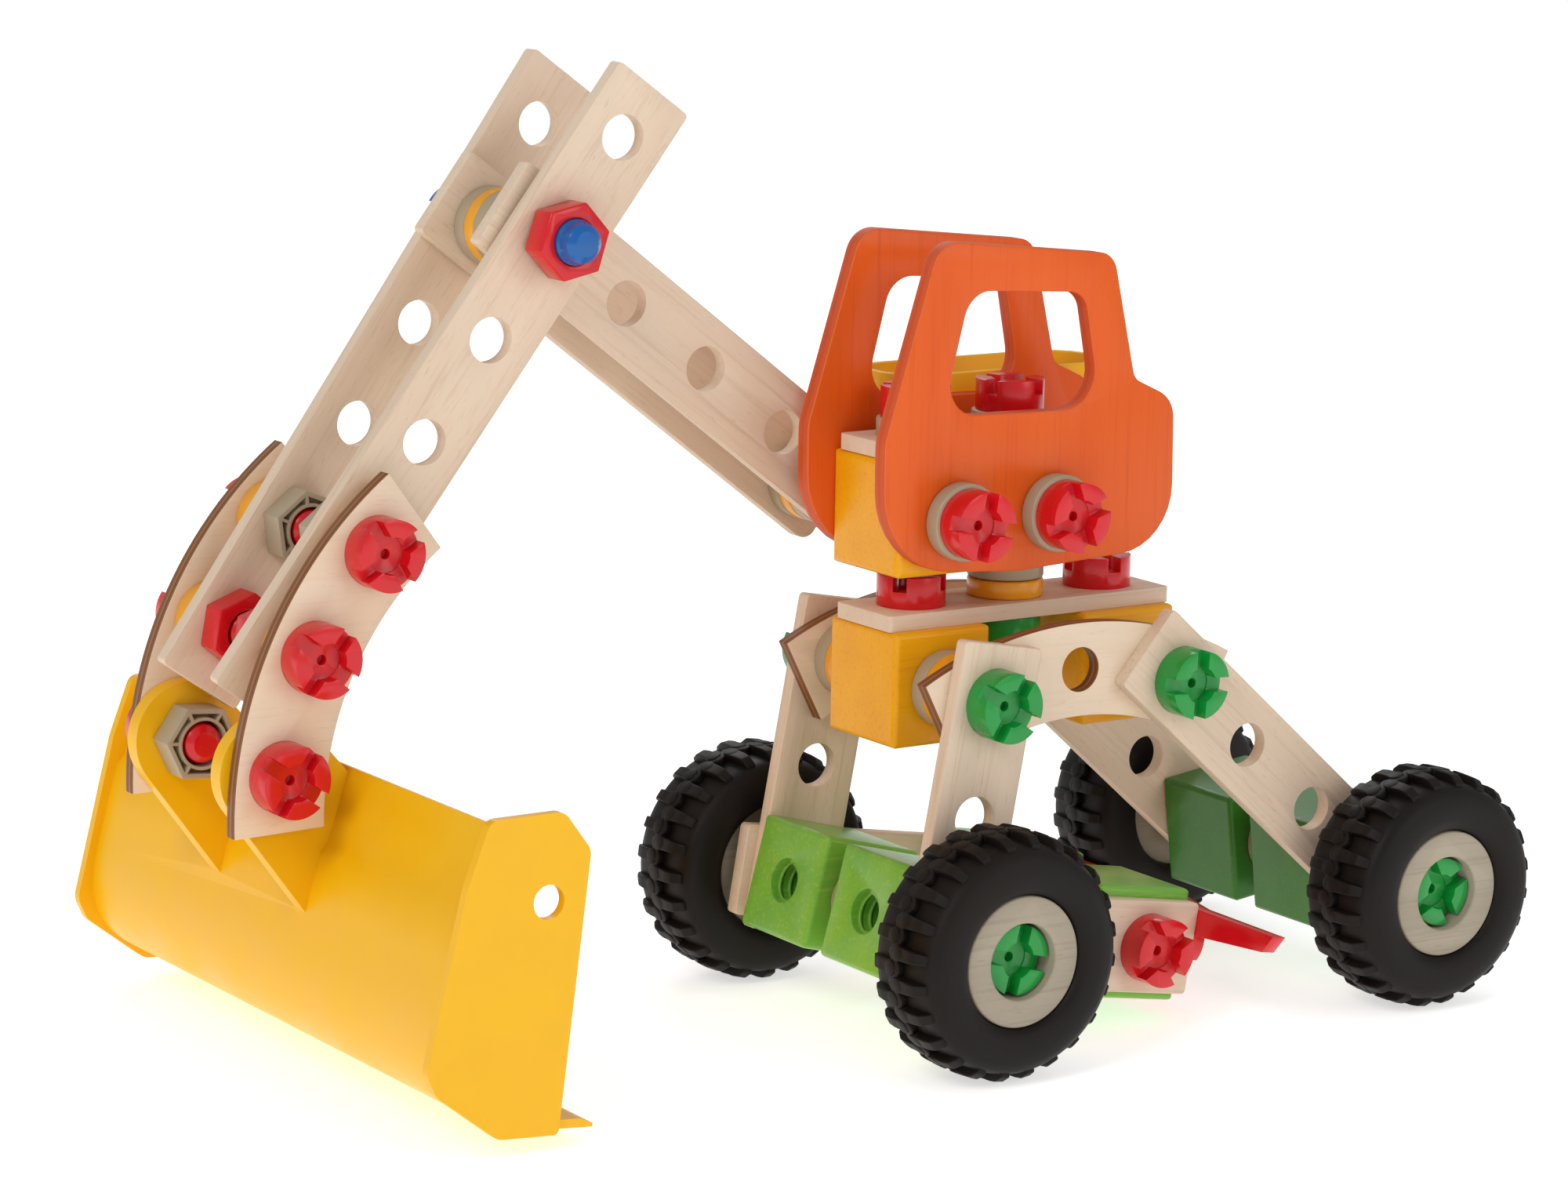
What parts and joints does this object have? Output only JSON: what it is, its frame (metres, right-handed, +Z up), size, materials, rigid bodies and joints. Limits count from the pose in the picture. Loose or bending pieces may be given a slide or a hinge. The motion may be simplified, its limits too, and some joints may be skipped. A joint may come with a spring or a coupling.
{
  "type": "toy backhoe loader",
  "caption": "Wooden construction-kit digger on four wheels, with a swinging cab, a two-part arm and a wide bucket.",
  "frame": {"origin": "centre of the footprint's box, on the ground", "axes": "+X forward towards the bucket, +Y to the vehicle's left, +Z up"},
  "size_m": [0.348, 0.2092, 0.2503],
  "materials": {
    "natural_wood": "fine straight grain, unvarnished",
    "bracket_ply": "pale face, dark cut edges",
    "yellow_wood": "stained, satin",
    "green_wood": "stained, glossy",
    "orange_ply": "stained ply, satin",
    "hub_wood": "grained, matt",
    "yellow_ring": "slightly translucent",
    "grey_plastic": "satin",
    "red_plastic": "glossy",
    "green_plastic": "glossy",
    "blue_plastic": "glossy",
    "bucket_plastic": "soft gloss",
    "tyre": "moulded tread, satin"
  },
  "bodies": {
    "chassis": {"chassis_slat": "natural_wood", "chassis_cubes": "yellow_wood", "chassis_grey_rings": "grey_plastic", "chassis_yellow_rings": "yellow_ring", "bracket_left": "bracket_ply", "bracket_right": "bracket_ply", "front_leg_left": "natural_wood", "front_leg_right": "natural_wood", "rear_leg_left": "natural_wood", "rear_leg_right": "natural_wood", "leg_screws": "green_plastic", "deck_screws": "red_plastic", "front_axle_cubes": "green_wood", "rear_axle_cubes": "green_wood", "axle_cube_spacers": "grey_plastic", "axle_washers": "grey_plastic", "axle_screws": "green_plastic", "lower_slat_left": "natural_wood", "lower_slat_right": "natural_wood", "tail_cubes": "green_wood", "tail_side_screws": "red_plastic", "tail_bar": "red_plastic", "tail_bar_screw": "red_plastic"},
    "cab": {"cab_block": "yellow_wood", "cab_slat": "natural_wood", "cab_panel_left": "orange_ply", "cab_panel_right": "orange_ply", "cab_washers": "grey_plastic", "cab_side_screws": "red_plastic", "cab_top_screw": "red_plastic", "turntable_bolt": "red_plastic", "turntable_upper_ring": "grey_plastic", "turntable_nut": "green_plastic", "boom_foot_bolt": "red_plastic", "side_tray": "bucket_plastic"},
    "boom": {"boom_slat_left": "natural_wood", "boom_slat_right": "natural_wood", "boom_grey_rings": "grey_plastic", "boom_yellow_rings": "yellow_ring"},
    "stick": {"stick_slat_left": "natural_wood", "stick_slat_right": "natural_wood", "elbow_bolt": "blue_plastic", "elbow_nut": "red_plastic", "stick_rings": "yellow_ring", "stick_bracket_left": "bracket_ply", "stick_bracket_right": "bracket_ply", "stick_screws": "red_plastic", "stick_grey_nuts": "grey_plastic", "stick_red_nuts": "red_plastic", "bucket_pivot_screws": "red_plastic", "bucket_pivot_nuts": "grey_plastic"},
    "bucket": {"bucket": "bucket_plastic"},
    "wheel_front_left": {"hub_front_left": "hub_wood", "tyre_front_left": "tyre"},
    "wheel_front_right": {"hub_front_right": "hub_wood", "tyre_front_right": "tyre"},
    "wheel_rear_left": {"hub_rear_left": "hub_wood", "tyre_rear_left": "tyre"},
    "wheel_rear_right": {"hub_rear_right": "hub_wood", "tyre_rear_right": "tyre"}
  },
  "joints": [
    {"name": "cab_swing", "type": "hinge", "parent": "chassis", "child": "cab", "pos_m": [-0.0443, 0.032, 0.1147], "axis": [0, 0, 1], "range_deg": [-90, 90]},
    {"name": "boom_lift", "type": "hinge", "parent": "cab", "child": "boom", "pos_m": [-0.0143, -0.0091, 0.13479], "axis": [0, 1, 0], "range_deg": [-30, 6]},
    {"name": "elbow", "type": "hinge", "parent": "boom", "child": "stick", "pos_m": [0.08154, -0.0091, 0.20701], "axis": [0, 1, 0], "range_deg": [-45, 12]},
    {"name": "bucket_curl", "type": "hinge", "parent": "stick", "child": "bucket", "pos_m": [0.15947, -0.0091, 0.08033], "axis": [0, 1, 0], "range_deg": [-70, 20]},
    {"name": "wheel_front_left", "type": "hinge", "parent": "chassis", "child": "wheel_front_left", "pos_m": [-0.00337, 0.09, 0.0317], "axis": [0, 1, 0], "continuous": true},
    {"name": "wheel_front_right", "type": "hinge", "parent": "chassis", "child": "wheel_front_right", "pos_m": [-0.00337, -0.026, 0.0317], "axis": [0, 1, 0], "continuous": true},
    {"name": "wheel_rear_left", "type": "hinge", "parent": "chassis", "child": "wheel_rear_left", "pos_m": [-0.14227, 0.09, 0.0317], "axis": [0, 1, 0], "continuous": true},
    {"name": "wheel_rear_right", "type": "hinge", "parent": "chassis", "child": "wheel_rear_right", "pos_m": [-0.14227, -0.026, 0.0317], "axis": [0, 1, 0], "continuous": true}
  ]
}
